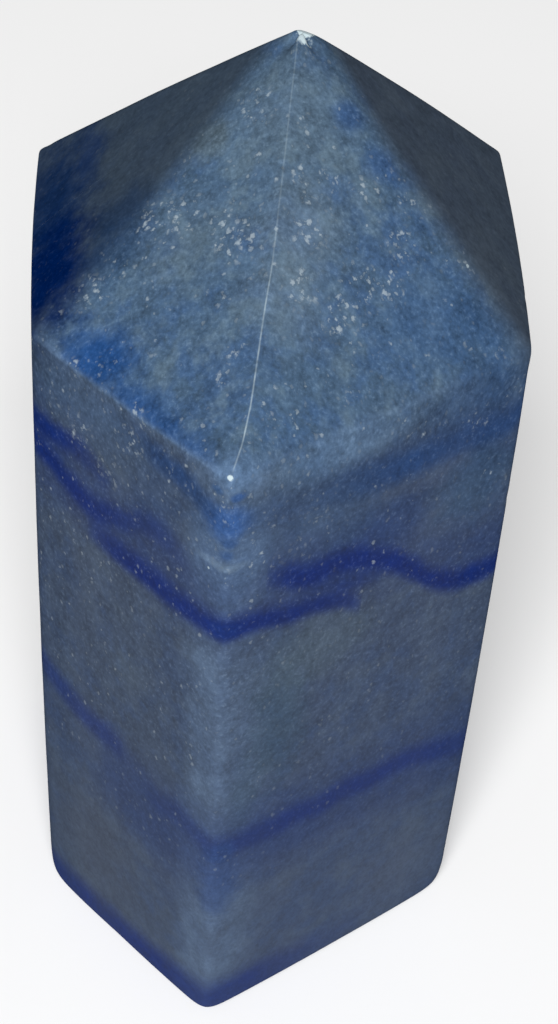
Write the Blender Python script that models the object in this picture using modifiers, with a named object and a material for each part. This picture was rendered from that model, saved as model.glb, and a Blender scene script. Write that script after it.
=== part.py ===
"""A hand-cut point of dumortierite quartz: a six-sided column with a six-sided tip.

One solid stone, ground on a flat lap and polished. It stands on a flat sawn base.
Lengths are in metres. +Z runs up the column and -Y faces the front corner.
"""

import math

import bmesh
import bpy
from mathutils import Vector

# Driving dimensions.
NOMINAL_CORNER_RADIUS = 0.0232
SHOULDER_HEIGHT = 0.06217
SHARP_TIP_HEIGHT = 0.08035
SHARP_TIP_OFFSET = Vector((0.00128, 0.00097))
BASE_TO_SHOULDER_RATIO = 0.976

# Where each hand-cut corner of the shoulder lies, in plan, and how far above or
# below the nominal shoulder height it was cut. The order runs round the column.
CORNER_NAMES = ("front", "right", "back_right", "back", "back_left", "left")
CORNER_PLAN = {
    "front": Vector((-0.00251, -0.02661)),
    "right": Vector((0.01882, -0.01118)),
    "back_right": Vector((0.01812, 0.01336)),
    "back": Vector((0.00005, 0.02336)),
    "back_left": Vector((-0.01858, 0.01216)),
    "left": Vector((-0.01705, -0.01167)),
}
CORNER_RISE = {
    "front": -0.00017,
    "right": -0.00010,
    "back_right": 0.00071,
    "back": 0.00007,
    "back_left": -0.00024,
    "left": -0.00024,
}

# The lap leaves each face slightly full in the middle.
FACE_CROWN = 0.00020
CROWN_CUTS = 5

# Setbacks of the rounded edges, measured from the sharp edge along each face. The
# hand-held stone was rounded more at the front of the column than at its back.
COLUMN_EDGE_SETBACK = {
    "front": 0.00100,
    "right": 0.00070,
    "back_right": 0.00045,
    "back": 0.00060,
    "back_left": 0.00045,
    "left": 0.00060,
}
SHOULDER_EDGE_SETBACK = 0.00050
TIP_EDGE_SETBACK = 0.00062
CRISP_EDGE_SETBACK = 0.00018
BASE_EDGE_SETBACK = 0.00150
WIDEST_SETBACK = 0.00150
EDGE_SEGMENTS = 4

# The base colour of the solid, as a linear RGBA value.
STONE_COLOUR = (0.085, 0.125, 0.230, 1.0)
STONE_ROUGHNESS = 0.32

COLLECTION_NAME = "dumortierite_point"
STONE_NAME = "polished_point"
MATERIAL_NAME = "blue_stone"
SAME_PLACE = 1e-7


def clear_scene() -> None:
    """Remove everything the new scene starts with."""
    for item in list(bpy.context.scene.objects):
        bpy.data.objects.remove(item, do_unlink=True)


def make_collection(name: str) -> bpy.types.Collection:
    """Make a collection and hang it under the scene.

    Args:
        name: Name of the collection.

    Returns:
        The new collection.
    """
    collection = bpy.data.collections.new(name)
    bpy.context.scene.collection.children.link(collection)
    return collection


def make_stone_material() -> bpy.types.Material:
    """Make the plain polished blue stone material.

    Returns:
        A Principled material.
    """
    material = bpy.data.materials.new(MATERIAL_NAME)
    material.use_nodes = True
    shader = material.node_tree.nodes["Principled BSDF"]
    shader.inputs["Base Color"].default_value = STONE_COLOUR
    shader.inputs["Roughness"].default_value = STONE_ROUGHNESS
    material.diffuse_color = STONE_COLOUR
    return material


def plan_centre() -> Vector:
    """Find the middle of the shoulder's plan, which is set over the origin.

    Returns:
        The centre of the box round the six corners.
    """
    across = [corner.x for corner in CORNER_PLAN.values()]
    along = [corner.y for corner in CORNER_PLAN.values()]
    return Vector(((min(across) + max(across)) / 2, (min(along) + max(along)) / 2))


def shoulder_corner(name: str) -> Vector:
    """Place one corner where the column meets the tip.

    Args:
        name: Name of the corner.

    Returns:
        The sharp corner, in metres.
    """
    plan = CORNER_PLAN[name] - plan_centre()
    return Vector((plan.x, plan.y, SHOULDER_HEIGHT + CORNER_RISE[name]))


def base_corner(name: str) -> Vector:
    """Place one corner of the sawn base, below its shoulder corner.

    Args:
        name: Name of the corner.

    Returns:
        The sharp corner, in metres.
    """
    plan = (CORNER_PLAN[name] - plan_centre()) * BASE_TO_SHOULDER_RATIO
    return Vector((plan.x, plan.y, 0.0))


def sharp_tip() -> Vector:
    """Place the point where the six tip faces would meet.

    Returns:
        The sharp tip, in metres.
    """
    plan = SHARP_TIP_OFFSET - plan_centre()
    return Vector((plan.x, plan.y, SHARP_TIP_HEIGHT))


def nearest_corner(place: Vector) -> str:
    """Name the corner whose direction from the axis is closest to a vertex.

    Args:
        place: A vertex of the blank, before or after its corners are cut.

    Returns:
        The name of the corner at that vertex.
    """
    step = math.tau / len(CORNER_NAMES)
    turn = math.atan2(place.y, place.x) + math.pi / 2
    return CORNER_NAMES[round(turn / step) % len(CORNER_NAMES)]


def cut_blank(mesh: bmesh.types.BMesh) -> None:
    """Make the six-sided blank and cut its corners to their places.

    Args:
        mesh: The empty mesh to fill.
    """
    bmesh.ops.create_cone(
        mesh,
        cap_ends=True,
        cap_tris=False,
        segments=len(CORNER_NAMES),
        radius1=NOMINAL_CORNER_RADIUS,
        radius2=NOMINAL_CORNER_RADIUS,
        depth=SHOULDER_HEIGHT,
    )
    for vertex in mesh.verts:
        name = nearest_corner(vertex.co)
        vertex.co = shoulder_corner(name) if vertex.co.z > 0 else base_corner(name)


def raise_tip(mesh: bmesh.types.BMesh) -> None:
    """Turn the top of the column into six faces that meet at the tip.

    Args:
        mesh: The blank.
    """
    top = max(mesh.faces, key=lambda face: face.calc_center_median().z)
    poked = bmesh.ops.poke(mesh, faces=[top])
    poked["verts"][0].co = sharp_tip()


def edge_setback(edge: bmesh.types.BMEdge) -> float:
    """Say how far an edge of the sharp solid is rounded back.

    Args:
        edge: An edge before the faces are divided.

    Returns:
        The setback in metres.
    """
    low, high = sorted((vertex.co for vertex in edge.verts), key=lambda place: place.z)
    if high.z < SAME_PLACE:
        return BASE_EDGE_SETBACK
    if low.z < SAME_PLACE:
        return COLUMN_EDGE_SETBACK[nearest_corner(low)]
    if (high - sharp_tip()).length > SAME_PLACE:
        return SHOULDER_EDGE_SETBACK
    if (low - shoulder_corner("front")).length < SAME_PLACE:
        return CRISP_EDGE_SETBACK
    return TIP_EDGE_SETBACK


def mark_edges(mesh: bmesh.types.BMesh) -> None:
    """Store each sharp edge's setback as a share of the widest one.

    Args:
        mesh: The sharp solid.
    """
    weights = mesh.edges.layers.float.new("bevel_weight_edge")
    for edge in mesh.edges:
        edge[weights] = edge_setback(edge) / WIDEST_SETBACK


def share_across(place: Vector, first: Vector, second: Vector) -> float:
    """Find how far a point lies from one corner towards the next, in plan.

    Args:
        place: The point, on the face between two corner lines.
        first: The first corner, measured from the axis.
        second: The second corner, measured from the axis.

    Returns:
        A share from 0 at the first corner to 1 at the second.
    """
    along = (second - first).to_2d()
    reach = (place - first).to_2d().dot(along) / along.length_squared
    return min(1.0, max(0.0, reach))


def crown_height(place: Vector) -> float:
    """Find how far the lap left the surface standing proud of the sharp solid.

    Each face is fullest in its middle and falls away to nothing at its corners.

    Args:
        place: A vertex of the divided sharp solid.

    Returns:
        The crown in metres, from 0 up to about twice FACE_CROWN.
    """
    tip = sharp_tip()
    corners = [shoulder_corner(name) for name in CORNER_NAMES]
    on_tip = place.z > SHOULDER_HEIGHT and (place - tip).length > SAME_PLACE
    best = None
    for index, first in enumerate(corners):
        second = corners[(index + 1) % len(corners)]
        if on_tip:
            normal = (second - first).cross(tip - first).normalized()
        else:
            name = CORNER_NAMES[index]
            normal = (second - first).cross(first - base_corner(name)).normalized()
        miss = abs(normal.dot(place - first))
        if best is None or miss < best[0]:
            best = (miss, first, second)
    _, first, second = best
    if (place - tip).length < SAME_PLACE:
        return 0.0
    if not on_tip:
        rise = min(1.0, place.z / SHOULDER_HEIGHT)
        scale = BASE_TO_SHOULDER_RATIO + (1 - BASE_TO_SHOULDER_RATIO) * rise
        across = share_across(place, first * scale, second * scale)
        return FACE_CROWN * 4 * (across * (1 - across) + rise * (1 - rise))
    top_share = max(0.0, (place.z - SHOULDER_HEIGHT) / (tip.z - SHOULDER_HEIGHT))
    lower = (place - tip * top_share) / (1 - top_share)
    across = share_across(lower, first, second)
    first_share = (1 - top_share) * (1 - across)
    second_share = (1 - top_share) * across
    products = first_share * second_share + top_share * (first_share + second_share)
    return FACE_CROWN * 4 * products


def crown_faces(mesh: bmesh.types.BMesh) -> None:
    """Divide the faces and lift them into the slight curve the lap leaves.

    Args:
        mesh: The sharp solid with its edges marked.
    """
    bmesh.ops.subdivide_edges(mesh, edges=mesh.edges[:], cuts=CROWN_CUTS, use_grid_fill=True)
    mesh.normal_update()
    lifted = {}
    for vertex in mesh.verts:
        direction = vertex.normal.copy()
        on_base = vertex.co.z < SAME_PLACE
        if on_base:
            direction.z = 0.0
            direction.normalize()
        lifted[vertex] = vertex.co + direction * crown_height(vertex.co)
    for vertex, place in lifted.items():
        vertex.co = place


def make_stone(collection: bpy.types.Collection) -> bpy.types.Object:
    """Build the finished stone.

    Args:
        collection: Where the stone goes.

    Returns:
        The stone's object.
    """
    mesh = bmesh.new()
    cut_blank(mesh)
    raise_tip(mesh)
    mark_edges(mesh)
    crown_faces(mesh)
    bmesh.ops.recalc_face_normals(mesh, faces=mesh.faces[:])
    data = bpy.data.meshes.new(STONE_NAME)
    mesh.to_mesh(data)
    mesh.free()
    for polygon in data.polygons:
        polygon.use_smooth = True

    stone = bpy.data.objects.new(STONE_NAME, data)
    data.materials.append(make_stone_material())
    collection.objects.link(stone)

    rounding = stone.modifiers.new("edge_rounding", "BEVEL")
    rounding.limit_method = "WEIGHT"
    rounding.width = WIDEST_SETBACK
    rounding.segments = EDGE_SEGMENTS
    rounding.profile = 0.5
    rounding.use_clamp_overlap = True
    return stone


def main() -> None:
    """Build the part in an empty scene."""
    clear_scene()
    make_stone(make_collection(COLLECTION_NAME))


main()
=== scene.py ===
"""The looks of a hand-cut, polished point of dumortierite quartz.

Lengths in the mesh code are metres. The stone's pattern is laid out in millimetres
in the part's own frame, so that each band runs through the block as it does in rock.
"""

import logging
import math
from dataclasses import dataclass, field
from enum import Enum

import bmesh
import bpy
import numpy as np
from mathutils import Matrix, Vector

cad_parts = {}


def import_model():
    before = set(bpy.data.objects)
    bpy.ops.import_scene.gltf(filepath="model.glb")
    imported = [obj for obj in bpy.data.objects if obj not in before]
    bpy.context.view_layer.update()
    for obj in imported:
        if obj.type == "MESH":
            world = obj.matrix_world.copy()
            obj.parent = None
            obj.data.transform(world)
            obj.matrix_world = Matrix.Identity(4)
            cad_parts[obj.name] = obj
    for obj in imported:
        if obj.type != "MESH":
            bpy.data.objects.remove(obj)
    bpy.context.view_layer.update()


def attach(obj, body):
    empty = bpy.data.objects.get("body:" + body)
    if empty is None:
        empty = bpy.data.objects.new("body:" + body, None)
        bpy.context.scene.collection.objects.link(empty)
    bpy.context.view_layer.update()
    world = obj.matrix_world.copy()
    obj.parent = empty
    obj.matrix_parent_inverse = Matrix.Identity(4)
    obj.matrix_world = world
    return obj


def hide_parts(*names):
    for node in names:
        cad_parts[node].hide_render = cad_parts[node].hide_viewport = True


LOG = logging.getLogger("polished_point")

MM = 0.001
STONE_NODE = "polished_point"
STONE_SLOT = "blue_stone"
ROOT_BODY = "root"
RIDGE_ATTRIBUTE = "ridge_offset"
EDGE_ATTRIBUTE = "edge_gap"
NICK_ATTRIBUTE = "nick"
CHIP_ATTRIBUTE = "chip"

Colour = tuple[float, float, float]
Place = tuple[float, float, float]
Route = tuple[tuple[float, float], ...]


# Shader building.


class Mix(Enum):
    """How one colour is laid over another."""

    OVER = "MIX"
    MULTIPLY = "MULTIPLY"
    SCREEN = "SCREEN"


class Value:
    """A shader socket that carries a number and takes Python's operators."""

    def __init__(self, graph: "Graph", socket: bpy.types.NodeSocket) -> None:
        """Wrap a socket.

        Args:
            graph: The graph that new nodes go into.
            socket: The output socket to wrap.
        """
        self.graph = graph
        self.socket = socket

    def _with(self, operation: str, *others: "Value | float") -> "Value":
        """Add a Math node on this value and others."""
        values = dict(enumerate((self, *others)))
        return self.graph.value("ShaderNodeMath", {"operation": operation}, values)

    def _after(self, operation: str, other: "Value | float") -> "Value":
        """Add a Math node with this value second."""
        values = {0: other, 1: self}
        return self.graph.value("ShaderNodeMath", {"operation": operation}, values)

    def __add__(self, other: "Value | float") -> "Value":
        """Add."""
        return self._with("ADD", other)

    def __radd__(self, other: float) -> "Value":
        """Add to a plain number."""
        return self._after("ADD", other)

    def __sub__(self, other: "Value | float") -> "Value":
        """Subtract."""
        return self._with("SUBTRACT", other)

    def __rsub__(self, other: float) -> "Value":
        """Subtract from a plain number."""
        return self._after("SUBTRACT", other)

    def __mul__(self, other: "Value | float") -> "Value":
        """Multiply."""
        return self._with("MULTIPLY", other)

    def __rmul__(self, other: float) -> "Value":
        """Multiply a plain number."""
        return self._after("MULTIPLY", other)

    def __truediv__(self, other: "Value | float") -> "Value":
        """Divide."""
        return self._with("DIVIDE", other)

    def __rtruediv__(self, other: float) -> "Value":
        """Divide a plain number."""
        return self._after("DIVIDE", other)

    def __neg__(self) -> "Value":
        """Turn the sign."""
        return self * -1.0

    def __abs__(self) -> "Value":
        """Drop the sign."""
        return self._with("ABSOLUTE")

    def lower(self, other: "Value | float") -> "Value":
        """Take the lower of two values."""
        return self._with("MINIMUM", other)

    def higher(self, other: "Value | float") -> "Value":
        """Take the higher of two values."""
        return self._with("MAXIMUM", other)

    def step(self, start: float, end: float) -> "Value":
        """Rise smoothly from 0 to 1.

        Args:
            start: Where the rise starts. It may lie above end, for a fall.
            end: Where the rise ends.

        Returns:
            The smooth step.
        """
        settings = {"interpolation_type": "SMOOTHSTEP"}
        low, high = sorted((start, end))
        values = {"Value": self, "From Min": low, "From Max": high}
        rise = self.graph.value("ShaderNodeMapRange", settings, values, "Result")
        return rise if start < end else 1.0 - rise


class Graph:
    """A material's node tree, built from Python."""

    def __init__(self, tree: bpy.types.NodeTree) -> None:
        """Take a node tree and empty it.

        Args:
            tree: The tree to build in.
        """
        self.tree = tree
        tree.nodes.clear()

    def node(self, kind: str, settings: dict | None = None, values: dict | None = None) -> bpy.types.Node:
        """Add a node.

        Args:
            kind: The node's type.
            settings: Its properties, which are set first.
            values: Values, sockets or Values for its inputs, by name or number.

        Returns:
            The new node.
        """
        node = self.tree.nodes.new(kind)
        for name, setting in (settings or {}).items():
            setattr(node, name, setting)
        for name, value in (values or {}).items():
            socket = node.inputs[name]
            if isinstance(value, Value):
                value = value.socket
            if isinstance(value, bpy.types.NodeSocket):
                self.tree.links.new(value, socket)
            else:
                socket.default_value = value
        return node

    def value(
        self,
        kind: str,
        settings: dict | None = None,
        values: dict | None = None,
        output: str | int = 0,
    ) -> Value:
        """Add a node and wrap one of its outputs as a number.

        Args:
            kind: The node's type.
            settings: Its properties.
            values: What its inputs get.
            output: The output's name or number.

        Returns:
            The wrapped output.
        """
        return Value(self, self.node(kind, settings, values).outputs[output])

    def vector(self, operation: str, *parts: object, scale: object = None) -> bpy.types.NodeSocket:
        """Add a Vector Math node.

        Args:
            operation: What the node does.
            parts: Its vectors, in order.
            scale: Its scale, where it has one.

        Returns:
            The vector output.
        """
        values = dict(enumerate(parts))
        if scale is not None:
            values["Scale"] = scale
        return self.node("ShaderNodeVectorMath", {"operation": operation}, values).outputs["Vector"]

    def blend(self, first: object, second: object, share: "Value | float", how: Mix = Mix.OVER) -> bpy.types.NodeSocket:
        """Lay one colour over another.

        Args:
            first: The colour below, as a colour or a socket.
            second: The colour on top.
            share: How much of it shows.
            how: The way the two meet.

        Returns:
            The mixed colour.
        """
        settings = {"data_type": "RGBA", "blend_type": how.value, "clamp_factor": True}
        values = {"Factor": share, "A": opaque(first), "B": opaque(second)}
        node = self.node("ShaderNodeMix", settings)
        colours = [s for s in node.inputs if s.type == "RGBA"]
        amount = next(s for s in node.inputs if s.name == "Factor" and s.type == "VALUE")
        for socket, value in zip((amount, *colours), values.values()):
            if isinstance(value, Value):
                value = value.socket
            if isinstance(value, bpy.types.NodeSocket):
                self.tree.links.new(value, socket)
            else:
                socket.default_value = value
        return next(s for s in node.outputs if s.type == "RGBA")

    def curve(self, along: Value, route: Route) -> Value:
        """Read a drawn curve.

        Args:
            along: Where to read it, from 0 to 1.
            route: The curve's points, each with both values from 0 to 1.

        Returns:
            The curve's height, from 0 to 1.
        """
        node = self.node("ShaderNodeFloatCurve", None, {"Value": along})
        points = node.mapping.curves[0].points
        while len(points) < len(route):
            points.new(0.5, 0.5)
        for point, place in zip(points, route):
            point.location = place
            point.handle_type = "AUTO"
        node.mapping.extend = "HORIZONTAL"
        node.mapping.update()
        return Value(self, node.outputs["Value"])

    def noise(self, place: object, size: float, detail: float = 2.0, rough: float = 0.5, seed: float = 0.0) -> Value:
        """Add even noise.

        Args:
            place: Where it is read, in millimetres.
            size: The size of its largest features, in millimetres.
            detail: How many finer layers it has.
            rough: How strong the finer layers are.
            seed: Which noise it is.

        Returns:
            Noise from about 0 to 1.
        """
        moved = self.vector("ADD", place, (seed * 31.7, seed * 17.3, seed * 11.9))
        values = {"Vector": moved, "Scale": 1.0 / size, "Detail": detail, "Roughness": rough}
        return self.value("ShaderNodeTexNoise", {"noise_dimensions": "3D"}, values, "Fac")


def opaque(colour: object) -> object:
    """Give a plain colour its alpha, and leave a socket as it is."""
    if isinstance(colour, tuple) and len(colour) == 3:
        return (*colour, 1.0)
    return colour


# The stone's pattern.


@dataclass(frozen=True)
class Vein:
    """One sheet of dark dumortierite that runs through the block.

    Attributes:
        name: What it is called.
        route: Points of its middle line on the front faces, each across and up, in mm.
        strengths: How strongly it shows along its line, each across and a share.
        above: How far it fades upwards, in mm.
        below: How far it fades downwards, in mm.
        colour: Its colour.
        dip: How far it climbs for each mm towards the back.
        wander: How far its surface strays, in mm.
    """

    name: str
    route: Route
    strengths: Route
    above: float
    below: float
    colour: Colour
    dip: float = 0.0
    wander: float = 0.5


@dataclass(frozen=True)
class Patch:
    """A soft cloud of colour inside the stone.

    Attributes:
        centre: Its middle, in mm.
        reach: How far it spreads along each axis, in mm.
        colour: Its colour.
        strength: How much of it shows at its middle.
        floor: The height at which it is cut off below, in mm.
    """

    centre: Place
    reach: Place
    colour: Colour
    strength: float
    floor: float = 0.0


@dataclass(frozen=True)
class Crystals:
    """Small pale crystals that stand out from the ground, gathered in clusters.

    Attributes:
        spacing: How far apart they lie, in mm.
        radius: The radius of the largest, in mm.
        cluster: How large a cluster is, in mm.
        share: The share of the stone that clusters fill.
        lowest: The height at which they start to show, in mm.
        highest: The height from which they show fully, in mm.
        strength: How strongly they show.
        seed: Which scatter it is.
        drawn: How far they are drawn out along the fibres, as a scale below 1.
        on_right: The share that shows on the right column face.
        crowds: Places where they crowd as well, each a middle and a reach, in mm.
    """

    spacing: float
    radius: float
    cluster: float
    share: float
    lowest: float
    highest: float
    strength: float
    seed: float
    drawn: float = 1.0
    on_right: float = 1.0
    crowds: tuple[tuple[Place, float], ...] = ()


@dataclass(frozen=True)
class Bruise:
    """A small whitish knock in the polish.

    Attributes:
        centre: Its middle, in mm.
        radius: Its radius, in mm.
        strength: How white it is.
    """

    centre: Place
    radius: float
    strength: float


NAVY: Colour = (0.000, 0.011, 0.096)
NAVY_HAZE: Colour = (0.011, 0.026, 0.090)
DEEP_BLUE: Colour = (0.011, 0.036, 0.112)
TIP_CORNER_BLUE: Colour = (0.011, 0.048, 0.156)
EDGE_BLUE: Colour = (0.012, 0.040, 0.135)

ACROSS_START = -20.0
ACROSS_SPAN = 40.0
UP_SPAN = 80.0
ROUTE_MARGIN = 0.1

VEINS = (
    Vein(
        name="main_haze",
        route=((-18.0, 53.4), (-15.0, 51.4), (-12.0, 50.2), (-9.0, 49.6), (-6.0, 49.0), (-2.6, 48.5), (2.0, 47.8)),
        strengths=((-18.0, 0.64), (-12.0, 0.52), (-7.0, 0.54), (-4.5, 0.46), (-1.0, 0.32), (2.0, 0.0)),
        above=5.4,
        below=5.2,
        colour=NAVY_HAZE,
        dip=-0.15,
        wander=1.1,
    ),
    Vein(
        name="main_left",
        route=((-18.0, 52.2), (-16.0, 51.6), (-14.0, 50.5), (-12.0, 50.2), (-11.0, 50.8), (-10.0, 51.3),
               (-9.0, 52.3), (-8.0, 52.7), (-6.0, 52.3)),
        strengths=((-18.0, 0.90), (-14.0, 0.95), (-12.0, 0.88), (-10.0, 0.58), (-8.0, 0.50), (-7.0, 0.40),
                   (-5.0, 0.0)),
        above=2.0,
        below=1.9,
        colour=NAVY,
        dip=-0.15,
        wander=0.45,
    ),
    Vein(
        name="main",
        route=((-13.0, 47.7), (-11.0, 47.5), (-8.0, 47.4), (-6.0, 47.2), (-4.0, 47.3), (-3.0, 47.5),
               (-1.0, 47.3), (0.0, 47.2), (1.0, 46.9), (2.0, 46.5), (4.0, 46.4), (5.0, 46.0), (6.0, 45.5),
               (7.4, 44.3)),
        strengths=((-13.0, 0.0), (-11.2, 0.75), (-9.5, 0.97), (-4.0, 0.97), (3.0, 0.97), (5.6, 0.90),
                   (7.6, 0.0)),
        above=2.5,
        below=1.6,
        colour=NAVY,
        dip=-0.15,
        wander=0.30,
    ),
    Vein(
        name="fork",
        route=((3.5, 48.9), (4.5, 48.4), (6.0, 47.4), (7.5, 46.8), (9.0, 46.2)),
        strengths=((3.5, 0.0), (4.8, 0.60), (6.5, 0.75), (8.0, 0.45), (9.0, 0.0)),
        above=1.4,
        below=1.3,
        colour=NAVY,
        dip=0.05,
        wander=0.40,
    ),
    Vein(
        name="branch_haze",
        route=((0.5, 50.8), (2.0, 50.0), (4.0, 49.4), (6.0, 48.8), (8.0, 48.4), (10.0, 47.6), (14.0, 44.6),
               (18.8, 42.7)),
        strengths=((-0.5, 0.0), (1.0, 0.45), (4.0, 0.75), (8.0, 0.62), (11.0, 0.45), (18.8, 0.45)),
        above=5.4,
        below=3.6,
        colour=NAVY_HAZE,
        dip=0.05,
        wander=0.9,
    ),
    Vein(
        name="branch",
        route=((0.5, 51.3), (1.5, 50.7), (2.5, 50.0), (4.0, 49.6), (5.0, 49.8), (6.0, 49.5), (8.0, 48.3),
               (10.0, 46.8), (11.5, 45.1), (13.0, 43.2), (15.0, 41.7), (17.0, 41.2), (18.8, 40.9)),
        strengths=((0.2, 0.0), (1.4, 0.75), (3.0, 0.95), (5.0, 0.97), (18.8, 0.97)),
        above=2.3,
        below=1.9,
        colour=NAVY,
        dip=0.05,
        wander=0.4,
    ),
    Vein(
        name="strand",
        route=((-18.0, 54.2), (-15.5, 54.4), (-13.2, 54.8), (-11.5, 53.8)),
        strengths=((-18.0, 0.88), (-15.0, 0.80), (-13.0, 0.62), (-11.0, 0.0)),
        above=1.8,
        below=2.2,
        colour=NAVY,
        dip=-0.1,
        wander=0.7,
    ),
    Vein(
        name="upper",
        route=((3.0, 57.3), (6.0, 56.8), (8.0, 56.5), (10.0, 56.4), (12.0, 56.4), (14.0, 56.3), (18.8, 56.0)),
        strengths=((3.0, 0.15), (6.0, 0.50), (9.5, 0.80), (15.0, 0.75), (18.8, 0.70)),
        above=3.4,
        below=2.2,
        colour=DEEP_BLUE,
        dip=0.2,
        wander=0.9,
    ),
    Vein(
        name="upper_left",
        route=((-18.0, 60.6), (-12.0, 60.4), (-8.0, 59.9), (-5.5, 59.2), (-3.0, 58.0), (-1.0, 57.8), (3.0, 57.4)),
        strengths=((-18.0, 0.05), (-9.5, 0.15), (-7.6, 0.70), (-5.2, 0.75), (-2.8, 0.35), (3.0, 0.0)),
        above=1.8,
        below=1.8,
        colour=DEEP_BLUE,
        dip=0.2,
        wander=0.8,
    ),
    Vein(
        name="lower_haze",
        route=((-18.0, 27.0), (-13.0, 24.0), (-8.0, 21.4), (-4.0, 21.6), (0.0, 21.6), (8.0, 21.2), (14.0, 21.0),
               (18.8, 19.6)),
        strengths=((-18.0, 0.30), (-13.5, 0.15), (-11.0, 0.55), (-3.0, 0.66), (2.0, 0.66), (12.0, 0.60),
                   (18.8, 0.58)),
        above=8.6,
        below=7.6,
        colour=NAVY_HAZE,
        dip=0.1,
        wander=1.4,
    ),
    Vein(
        name="lower",
        route=((-18.0, 28.6), (-16.0, 27.8), (-14.0, 26.8), (-12.0, 26.5), (-10.0, 26.3), (-9.0, 25.8),
               (-7.5, 24.0), (-6.0, 24.2), (-4.0, 23.7), (-2.0, 22.9), (0.0, 22.6), (2.0, 22.5), (4.0, 22.7),
               (6.0, 22.2), (8.0, 22.7), (10.0, 22.2), (12.0, 22.3), (14.0, 22.0), (16.0, 21.0), (18.8, 20.2)),
        strengths=((-18.0, 0.50), (-13.0, 0.58), (-10.4, 0.45), (-9.2, 0.10), (-7.0, 0.30), (-4.0, 0.42),
                   (0.0, 0.60), (6.0, 0.66), (14.0, 0.64), (18.8, 0.50)),
        above=2.5,
        below=2.2,
        colour=NAVY,
        dip=0.1,
        wander=0.6,
    ),
    Vein(
        name="foot",
        route=((-18.0, 1.9), (-8.0, 2.1), (-2.7, 2.6), (0.9, 2.7), (4.9, 2.2), (9.0, 1.8), (18.8, 1.0)),
        strengths=((-18.0, 0.70), (-2.7, 0.80), (1.0, 0.74), (3.0, 0.58), (5.0, 0.46), (7.0, 0.30), (12.0, 0.0)),
        above=3.6,
        below=8.0,
        colour=NAVY,
        dip=0.02,
        wander=0.5,
    ),
)

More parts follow.
